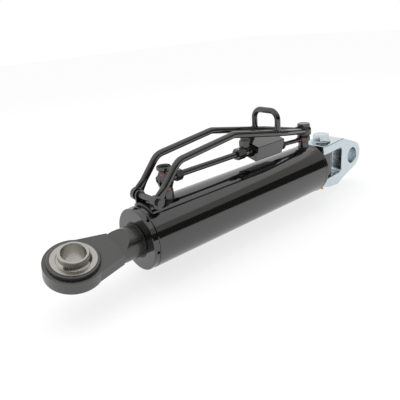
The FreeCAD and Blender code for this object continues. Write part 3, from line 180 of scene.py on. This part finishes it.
def finish_material(material, shader):
    """Links a shader to the material's output."""
    add_node(material, "ShaderNodeOutputMaterial", None, {"Surface": shader.outputs[0]})
    return material


def gloss_enamel(colour):
    """Sprayed two-coat black enamel: deep gloss, soft orange peel, a little dust in the low spots."""
    m = new_material("gloss_black_enamel")
    place = add_node(m, "ShaderNodeTexCoord")
    # Orange peel is about 2 mm across on sprayed enamel.
    peel = add_node(m, "ShaderNodeTexNoise", {"Scale": 420.0, "Detail": 2.0},
                    {"Vector": place.outputs["Object"]})
    cloud = add_node(m, "ShaderNodeTexNoise", {"Scale": 28.0, "Detail": 4.0},
                     {"Vector": place.outputs["Object"]})
    rough = add_node(m, "ShaderNodeMapRange",
                     {"From Min": 0.3, "From Max": 0.7, "To Min": 0.05, "To Max": 0.11},
                     {"Value": cloud.outputs[0]})
    bump = add_node(m, "ShaderNodeBump", {"Strength": 0.06, "Distance": 0.0002},
                    {"Height": peel.outputs[0]})
    shader = add_node(m, "ShaderNodeBsdfPrincipled", {"Base Color": (*colour, 1), "IOR": 1.85},
                      {"Roughness": rough.outputs[0], "Normal": bump.outputs[0]})
    return finish_material(m, shader)


def black_oxide(colour):
    """Black oxide on turned steel: satin, with a faint oily sheen."""
    m = new_material("black_oxide_steel")
    place = add_node(m, "ShaderNodeTexCoord")
    grain = add_node(m, "ShaderNodeTexNoise", {"Scale": 900.0, "Detail": 3.0},
                     {"Vector": place.outputs["Object"]})
    rough = add_node(m, "ShaderNodeMapRange", {"To Min": 0.22, "To Max": 0.42}, {"Value": grain.outputs[0]})
    bump = add_node(m, "ShaderNodeBump", {"Strength": 0.15, "Distance": 0.0001},
                    {"Height": grain.outputs[0]})
    shader = add_node(m, "ShaderNodeBsdfPrincipled", {"Base Color": (*colour, 1), "IOR": 1.9},
                      {"Roughness": rough.outputs[0], "Normal": bump.outputs[0]})
    return finish_material(m, shader)


def metal(name, colour, low, high, scale, depth):
    """A bare or plated metal whose roughness wanders between two values over a grain of its own."""
    m = new_material(name)
    place = add_node(m, "ShaderNodeTexCoord")
    grain = add_node(m, "ShaderNodeTexNoise", {"Scale": scale, "Detail": 5.0},
                     {"Vector": place.outputs["Object"]})
    rough = add_node(m, "ShaderNodeMapRange",
                     {"From Min": 0.3, "From Max": 0.7, "To Min": low, "To Max": high},
                     {"Value": grain.outputs[0]})
    bump = add_node(m, "ShaderNodeBump", {"Strength": 0.3, "Distance": depth}, {"Height": grain.outputs[0]})
    shader = add_node(m, "ShaderNodeBsdfPrincipled", {"Base Color": (*colour, 1), "Metallic": 1.0},
                      {"Roughness": rough.outputs[0], "Normal": bump.outputs[0]})
    return finish_material(m, shader)


def forged_paint(colour):
    """Thin semi-gloss black over a forging: the scale's shallow unevenness shows through the paint."""
    m = new_material("semi_gloss_black_on_forging")
    place = add_node(m, "ShaderNodeTexCoord")
    # Forging scale is 3 to 5 mm across.
    scale = add_node(m, "ShaderNodeTexNoise", {"Scale": 260.0, "Detail": 5.0},
                     {"Vector": place.outputs["Object"]})
    rough = add_node(m, "ShaderNodeMapRange",
                     {"From Min": 0.3, "From Max": 0.7, "To Min": 0.2, "To Max": 0.34},
                     {"Value": scale.outputs[0]})
    bump = add_node(m, "ShaderNodeBump", {"Strength": 0.25, "Distance": 0.0003},
                    {"Height": scale.outputs[0]})
    shader = add_node(m, "ShaderNodeBsdfPrincipled", {"Base Color": (*colour, 1), "IOR": 1.85},
                      {"Roughness": rough.outputs[0], "Normal": bump.outputs[0]})
    return finish_material(m, shader)


def moulded(name, colour, roughness):
    """A moulded rubber or plastic ring with a fine matt skin."""
    m = new_material(name)
    place = add_node(m, "ShaderNodeTexCoord")
    skin = add_node(m, "ShaderNodeTexNoise", {"Scale": 1500.0, "Detail": 2.0},
                    {"Vector": place.outputs["Object"]})
    bump = add_node(m, "ShaderNodeBump", {"Strength": 0.2, "Distance": 0.00005},
                    {"Height": skin.outputs[0]})
    shader = add_node(m, "ShaderNodeBsdfPrincipled",
                      {"Base Color": (*colour, 1), "Roughness": roughness, "IOR": 1.52},
                      {"Normal": bump.outputs[0]})
    return finish_material(m, shader)


FINISHES = {
    "gloss": ("barrel_tube", "rear_cap", "gland", "front_port_boss", "rear_port_boss", "front_banjo",
              "front_hollow_bolt", "rear_banjo", "rear_hollow_bolt", "handle_sleeve", "transfer_pipe",
              "front_pipe_nut", "rear_pipe_nut", "pipe_tee", "valve_block", "stub_neck", "stub_pipe",
              "handle_bar_near", "handle_bar_far", "saddle_bracket", "hose_guide"),
    "eye": ("rod_eye",),
    "oxide": ("upper_hose_adapter", "back_hose_adapter", "stub_nut", "cross_tube",
              "handle_bolt", "handle_nut"),
    "zinc": ("knuckle", "swivel_bolt", "bolt_washer"),
    "steel": ("ball", "ball_race", "piston", "piston_nut"),
    "chrome": ("piston_rod",),
    "bronze": ("lug_bush", "thrust_washers"),
    "brass": ("grease_nipple",),
    "copper": ("sealing_washers",),
    "rubber": ("rod_wiper", "gland_o_ring"),
    "seal": ("rod_seal", "piston_seal"),
    "guide": ("rod_guide_ring", "piston_guide_rings"),
}


def give(material, names):
    """Puts one material on CAD nodes in place of what they came with."""
    for name in names:
        mesh = NODES[name].data
        mesh.materials.clear()
        mesh.materials.append(material)


# ---------------------------------------------------------------- shapes


def box_of(name):
    """The middle and the half size of a solid's box."""
    low, high = (np.array(corner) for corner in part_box(name))
    return (low + high) / 2, (high - low) / 2


def grid_faces(rows, columns, loop_rows):
    """Quads between neighbours on a grid that always closes along its columns."""
    row = np.arange(rows if loop_rows else rows - 1)
    row, column = np.meshgrid(row, np.arange(columns), indexing="ij")
    below = (row + 1) % rows
    after = (column + 1) % columns
    corners = [row * columns + column, below * columns + column,
               below * columns + after, row * columns + after]
    return np.stack(corners, -1).reshape(-1, 4)


def bead(path, out, up, radius, ripple, closed=True):
    """A weld bead: a circle carried along the path, in the plane of the two directions out and up.

    The radius swells and sinks by a tenth once in each ripple of the path's length, and on an
    open path it falls to nothing at both ends.
    """
    steps = np.linalg.norm(np.diff(path, axis=0, append=path[:1] if closed else path[-1:]), axis=1)
    along = np.concatenate([[0.0], np.cumsum(steps)[:-1]])
    waves = max(round(steps.sum() / ripple), 1)
    size = radius * (1 + 0.1 * np.cos(2 * np.pi * waves * along / steps.sum()))
    if not closed:
        place = np.linspace(-1, 1, len(path))
        size = size * np.sqrt(np.clip(1 - place ** 8, 0, 1))
    turn = np.linspace(0, 2 * np.pi, 10, endpoint=False)
    section = np.cos(turn)[None, :, None] * out[:, None, :] + np.sin(turn)[None, :, None] * up[:, None, :]
    points = path[:, None, :] + size[:, None, None] * section
    return points, grid_faces(len(path), len(turn), closed)


def branch_seam(centre, branch, main, slope=0.0):
    """Where an upright round branch meets a round bar along X.

    At the angle t the point is the branch's radius away from its axis, and its height is the
    root of the main radius squared less the sideways distance squared, plus the bar's slope.
    """
    t = np.linspace(0, 2 * np.pi, 120, endpoint=False)
    side = branch * np.sin(t)
    rise = np.sqrt(main ** 2 - side ** 2)
    path = np.stack([branch * np.cos(t), side, rise + slope * branch * np.cos(t)], -1) + np.array(centre)
    out = np.stack([np.cos(t), np.sin(t), 0 * t], -1)
    up = np.stack([0 * t, side / main, rise / main], -1)
    return path, out, up


def sleeve_seam(start, end, radius, sleeve_x, sleeve_rad):
    """Where a straight bar meets the upright sleeve: each line of the bar's skin is followed
    to the nearer root of its distance from the sleeve's axis less the sleeve's radius."""
    way = (end - start) / np.linalg.norm(end - start)
    first = np.cross(way, (0.0, 0.0, 1.0))
    first /= np.linalg.norm(first)
    second = np.cross(first, way)
    t = np.linspace(0, 2 * np.pi, 72, endpoint=False)
    out = np.cos(t)[:, None] * first + np.sin(t)[:, None] * second
    skin = start + radius * out
    flat = skin[:, :2] - np.array([sleeve_x, 0.0])
    a = way[:2] @ way[:2]
    b = 2 * flat @ way[:2]
    c = (flat ** 2).sum(1) - sleeve_rad ** 2
    reach = (-b - np.sqrt(b * b - 4 * a * c)) / (2 * a)
    path = skin + reach[:, None] * way
    return path, out, np.tile(-way, (len(t), 1))


def thread(foot, side, axis, radius, length, pitch):
    """A screw thread as a closed sleeve.

    Outside, the radius follows a triangle wave of the height over the pitch less the turn's
    share of a whole turn. Inside, it lies under the solid's skin.
    """
    other = np.cross(axis, side)
    t = np.linspace(0, 2 * np.pi, 72, endpoint=False)[:, None]
    height = np.linspace(0, length, 40)[None, :]
    phase = (height / pitch - t / (2 * np.pi)) % 1.0
    fade = np.clip(np.minimum(height, length - height) / (pitch / 2), 0, 1)
    outside = radius - THREAD_ROOT + THREAD_DEPTH * np.abs(2 * phase - 1) * fade
    inside = np.full((len(t), 2), radius - THREAD_INSIDE)
    reach = np.concatenate([outside, inside], 1)
    height = np.concatenate([np.tile(height, (len(t), 1)), np.tile([[length, 0.0]], (len(t), 1))], 1)
    points = (foot + reach[..., None] * (np.cos(t)[..., None] * side + np.sin(t)[..., None] * other)
              + height[..., None] * axis)
    return points, grid_faces(reach.shape[0], reach.shape[1], True)


def add_piece(name, shape, finish, body):
    """Makes a closed mesh from a grid, with its poles merged and its faces outwards, on a body."""
    points, faces = shape
    mesh = bpy.data.meshes.new(name)
    mesh.from_pydata(points.reshape(-1, 3).tolist(), [], faces.tolist())
    build = bmesh.new()
    build.from_mesh(mesh)
    bmesh.ops.remove_doubles(build, verts=build.verts, dist=1e-7)
    bmesh.ops.recalc_face_normals(build, faces=build.faces)
    build.to_mesh(mesh)
    build.free()
    mesh.shade_smooth()
    mesh.materials.append(bpy.data.materials[finish])
    piece = bpy.data.objects.new(name, mesh)
    bpy.context.scene.collection.objects.link(piece)
    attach(piece, body)
    return piece


# ---------------------------------------------------------------- operators


class LINK_OT_finishes(Operator):
    """Give every solid its finish"""

    bl_idname = "link.finishes"
    bl_label = "Finishes"

    def execute(self, context):
        c = context.scene.link_finishes
        made = {
            "gloss": gloss_enamel(c.gloss_paint),
            "eye": forged_paint(c.eye_paint),
            "oxide": black_oxide(c.satin_black),
            "zinc": metal("bright_zinc_plate", c.zinc, 0.16, 0.34, 120.0, 0.0003),
            "steel": metal("ground_bearing_steel", c.ground_steel, 0.18, 0.3, 600.0, 0.0001),
            "chrome": metal("hard_chrome", linear("#D8D8D8"), 0.05, 0.1, 300.0, 0.00002),
            "bronze": metal("tin_bronze", linear("#A8753A"), 0.25, 0.4, 500.0, 0.0001),
            "brass": metal("turned_brass", linear("#C9A24A"), 0.2, 0.35, 500.0, 0.0001),
            "copper": metal("soft_copper", linear("#B8694A"), 0.25, 0.4, 500.0, 0.0001),
            "rubber": moulded("nitrile_rubber", linear("#141414"), 0.55),
            "seal": moulded("polyurethane", linear("#2B4A66"), 0.4),
            "guide": moulded("phenolic_resin", linear("#5A4632"), 0.6),
        }
        for key, names in FINISHES.items():
            give(made[key], names)
        return {"FINISHED"}


class LINK_OT_weld_beads(Operator):
    """Lay the painted weld beads of the bosses, hose guide, handle, saddle and end cap"""

    bl_idname = "link.weld_beads"
    bl_label = "Weld Beads"

    def execute(self, context):
        sizes = context.scene.link_sizes
        middle, half = box_of("barrel_tube")
        barrel = half[1]
        seam_x = middle[0] + half[0]
        seams = {}
        for name in ("front_port_boss", "rear_port_boss"):
            boss, boss_half = box_of(name)
            seams[name + "_bead"] = (*branch_seam((boss[0], 0.0, 0.0), boss_half[0], barrel), True)
        guide_x = box_of("hose_guide")[0][0]
        slope = (WAIST[1] - CROWN[1]) / (WAIST[0] - CROWN[0])
        guide_z = WAIST[1] + slope * (guide_x - WAIST[0])
        sleeve, sleeve_half = box_of("handle_sleeve")
        for side, sign in (("near", -1), ("far", 1)):
            centre = (guide_x, BAR_HALF * sign, guide_z)
            seams["hose_guide_bead_" + side] = (*branch_seam(centre, GUIDE_RAD, BAR_RAD, slope), True)
            start = np.array([WAIST[0], BAR_HALF * sign, WAIST[1]])
            end = np.array(BAR_END) * (1, sign, 1)
            seam = sleeve_seam(start, end, BAR_RAD, sleeve[0], sleeve_half[0])
            seams["sleeve_bead_" + side] = (*seam, True)
        seams["end_cap_bead"] = (*self.around_barrel(seam_x, barrel - CAP_BEAD_SINK, np.pi, 1.0), True)
        saddle, saddle_half = box_of("saddle_bracket")
        spread = math.asin(saddle_half[1] / barrel)
        for side, sign in (("front", -1), ("back", 1)):
            edge = saddle[0] + saddle_half[0] * sign
            seams["saddle_bead_" + side] = (*self.around_barrel(edge, barrel, spread, sign), False)
        for name, (path, out, up, closed) in seams.items():
            share = CAP_BEAD_SHARE if "cap" in name else BEAD_SHARE
            shape = bead(path, out, up, sizes.bead_radius * share, sizes.ripple, closed)
            add_piece(name, shape, "gloss_black_enamel", "barrel")
        return {"FINISHED"}

    def around_barrel(self, x, radius, spread, sign):
        """An arc about the X axis, from minus to plus the spread measured from the top."""
        t = np.linspace(-spread, spread, 360, endpoint=spread < np.pi)
        up = np.stack([0 * t, np.sin(t), np.cos(t)], -1)
        return up * radius + (x, 0.0, 0.0), np.tile([float(sign), 0.0, 0.0], (len(t), 1)), up


class LINK_OT_threads(Operator):
    """Cut the threads of the two hose adapters"""

    bl_idname = "link.threads"
    bl_label = "Hose Threads"

    def execute(self, context):
        pitch = context.scene.link_sizes.thread_pitch
        top, top_half = box_of("upper_hose_adapter")
        foot = np.array([top[0], top[1], top[2] - top_half[2] + ADAPTER_HEX])
        lean = np.array([0.0, math.cos(BLOCK_ROLL), math.sin(BLOCK_ROLL)])
        back = np.array(BACK_PORT) + lean * ADAPTER_HEX
        side = np.array([1.0, 0.0, 0.0])
        for name, start, axis in (("upper", foot, np.array([0.0, 0.0, 1.0])), ("back", back, lean)):
            shape = thread(start, side, axis, THREAD_RAD, THREAD_LENGTH, pitch)
            add_piece(name + "_hose_thread", shape, "black_oxide_steel", "barrel")
        return {"FINISHED"}


class LINK_OT_stage(Operator):
    """Build the floor, the soft studio light and the camera"""

    bl_idname = "link.stage"
    bl_label = "Studio"

    def execute(self, context):
        scene = context.scene
        self.add_floor(scene)
        self.add_world(scene)
        self.add_card(scene, "studio_black_flag", FLAG_FOOT, FLAG_MIDDLE, BLACK_FLAG_LEVEL)
        self.add_card(scene, "studio_grey_flag", FLAG_MIDDLE, FLAG_TOP, GREY_FLAG_LEVEL)
        self.add_lamps(scene)
        self.add_camera(scene)
        scene.view_settings.view_transform = "Standard"
        return {"FINISHED"}

    def add_floor(self, scene):
        """A wide sheet of white paper just under the link."""
        half = FLOOR_HALF
        z = CAD_BOX[0].z - FLOOR_DROP
        corners = [(-half, -half, z), (half, -half, z), (half, half, z), (-half, half, z)]
        mesh = bpy.data.meshes.new("studio_floor")
        mesh.from_pydata(corners, [], [(0, 1, 2, 3)])
        floor = bpy.data.objects.new("studio_floor", mesh)
        scene.collection.objects.link(floor)
        m = new_material("studio_floor_paper")
        colour = (*scene.link_finishes.floor, 1)
        paper = add_node(m, "ShaderNodeBsdfDiffuse", {"Color": colour})
        glow = add_node(m, "ShaderNodeEmission", {"Color": (1, 1, 1, 1), "Strength": 1.0})
        path = add_node(m, "ShaderNodeLightPath")
        direct = add_node(m, "ShaderNodeMath", {"operation": "MAXIMUM"},
                          {0: path.outputs["Is Camera Ray"], 1: path.outputs["Is Glossy Ray"]})
        seen = add_node(m, "ShaderNodeMath", {"operation": "MAXIMUM"},
                        {0: direct.outputs[0], 1: path.outputs["Is Transmission Ray"]})
        share = add_node(m, "ShaderNodeMath", {"operation": "MULTIPLY", 1: FLOOR_WHITE_SHARE},
                         {0: seen.outputs[0]})
        mixed = add_node(m, "ShaderNodeMixShader", None,
                         {0: share.outputs[0], 1: paper.outputs[0], 2: glow.outputs[0]})
        mesh.materials.append(finish_material(m, mixed))

    def add_world(self, scene):
        """An even white studio."""
        world = bpy.data.worlds.new("studio_world")
        world.use_nodes = True
        world.node_tree.nodes.clear()
        scene.world = world
        white = add_node(world, "ShaderNodeBackground", {"Color": (1, 1, 1, 1), "Strength": 1.0})
        add_node(world, "ShaderNodeOutputWorld", None, {"Surface": white.outputs[0]})

    def add_card(self, scene, name, low, high, level):
        """A flag on the near side: part of a cylinder about Z, seen only in the paint's gloss."""
        first, last = (math.radians(turn) for turn in FLAG_TURNS)
        turn = np.linspace(first, last, FLAG_STEPS)[:, None]
        height = np.array([[low, high]])
        x = FLAG_RAD * np.cos(turn) + 0 * height
        y = FLAG_RAD * np.sin(turn) + 0 * height
        ring = np.stack([x, y, height + 0 * turn], -1)
        row = np.arange(FLAG_STEPS - 1)
        faces = np.stack([row * 2, row * 2 + 2, row * 2 + 3, row * 2 + 1], -1)
        mesh = bpy.data.meshes.new(name)
        mesh.from_pydata(ring.reshape(-1, 3).tolist(), [], faces.tolist())
        m = new_material(name + "_cloth")
        glow = add_node(m, "ShaderNodeEmission", {"Color": FLAG_TINT, "Strength": level})
        mesh.materials.append(finish_material(m, glow))
        card = bpy.data.objects.new(name, mesh)
        card.visible_camera = False
        card.visible_diffuse = False
        card.visible_shadow = False
        scene.collection.objects.link(card)

    def add_lamps(self, scene):
        """One large soft lamp overhead."""
        lamp = bpy.data.lights.new("overhead_softbox", "AREA")
        lamp.shape = "RECTANGLE"
        lamp.size = 1.6
        lamp.size_y = 1.0
        lamp.energy = 9.0
        thing = bpy.data.objects.new("overhead_softbox", lamp)
        thing.location = (-0.3, 0.35, 1.3)
        thing.rotation_euler = (math.radians(-14), 0, 0)
        thing.visible_glossy = False
        scene.collection.objects.link(thing)

    def add_camera(self, scene):
        """A camera above and beside the eye that looks along the link."""
        data = bpy.data.cameras.new("studio_camera")
        data.sensor_width = 36.0
        data.lens = scene.link_sizes.lens
        data.clip_start = 0.01
        camera = bpy.data.objects.new("studio_camera", data)
        right = Vector(CAMERA_RIGHT)
        up = Vector(CAMERA_UP)
        back = right.cross(up).normalized()
        up = back.cross(right).normalized()
        turn = Matrix((right.normalized(), up, back)).transposed().to_4x4()
        camera.matrix_world = Matrix.Translation(CAMERA_PLACE) @ turn
        scene.collection.objects.link(camera)
        scene.camera = camera


class LINK_PT_panel(Panel):
    """Lists the operators and their settings"""

    bl_idname = "LINK_PT_panel"
    bl_label = "Top Link"
    bl_space_type = "VIEW_3D"
    bl_region_type = "UI"
    bl_category = "Top Link"

    def draw(self, context):
        for operator in STEPS:
            self.layout.operator(operator.bl_idname)
        for group in (context.scene.link_finishes, context.scene.link_sizes):
            for name in group.bl_rna.properties.keys():
                if name not in {"rna_type", "name"}:
                    self.layout.prop(group, name)


STEPS = (LINK_OT_finishes, LINK_OT_weld_beads, LINK_OT_threads, LINK_OT_stage)
CLASSES = (LinkFinishes, LinkSizes, *STEPS, LINK_PT_panel)


def register():
    """Registers the classes and hangs the settings on the scene."""
    for cls in CLASSES:
        bpy.utils.register_class(cls)
    bpy.types.Scene.link_finishes = PointerProperty(type=LinkFinishes)
    bpy.types.Scene.link_sizes = PointerProperty(type=LinkSizes)


def unregister():
    """Takes the settings and the classes away again."""
    del bpy.types.Scene.link_sizes
    del bpy.types.Scene.link_finishes
    for cls in reversed(CLASSES):
        bpy.utils.unregister_class(cls)


def write_sizes():
    """Updates the view layer."""
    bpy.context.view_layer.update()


def main():
    """Runs every step in order."""
    register()
    for operator in STEPS:
        group, name = operator.bl_idname.split(".")
        getattr(getattr(bpy.ops, group), name)()
    write_sizes()


if __name__ == "__main__":
    main()
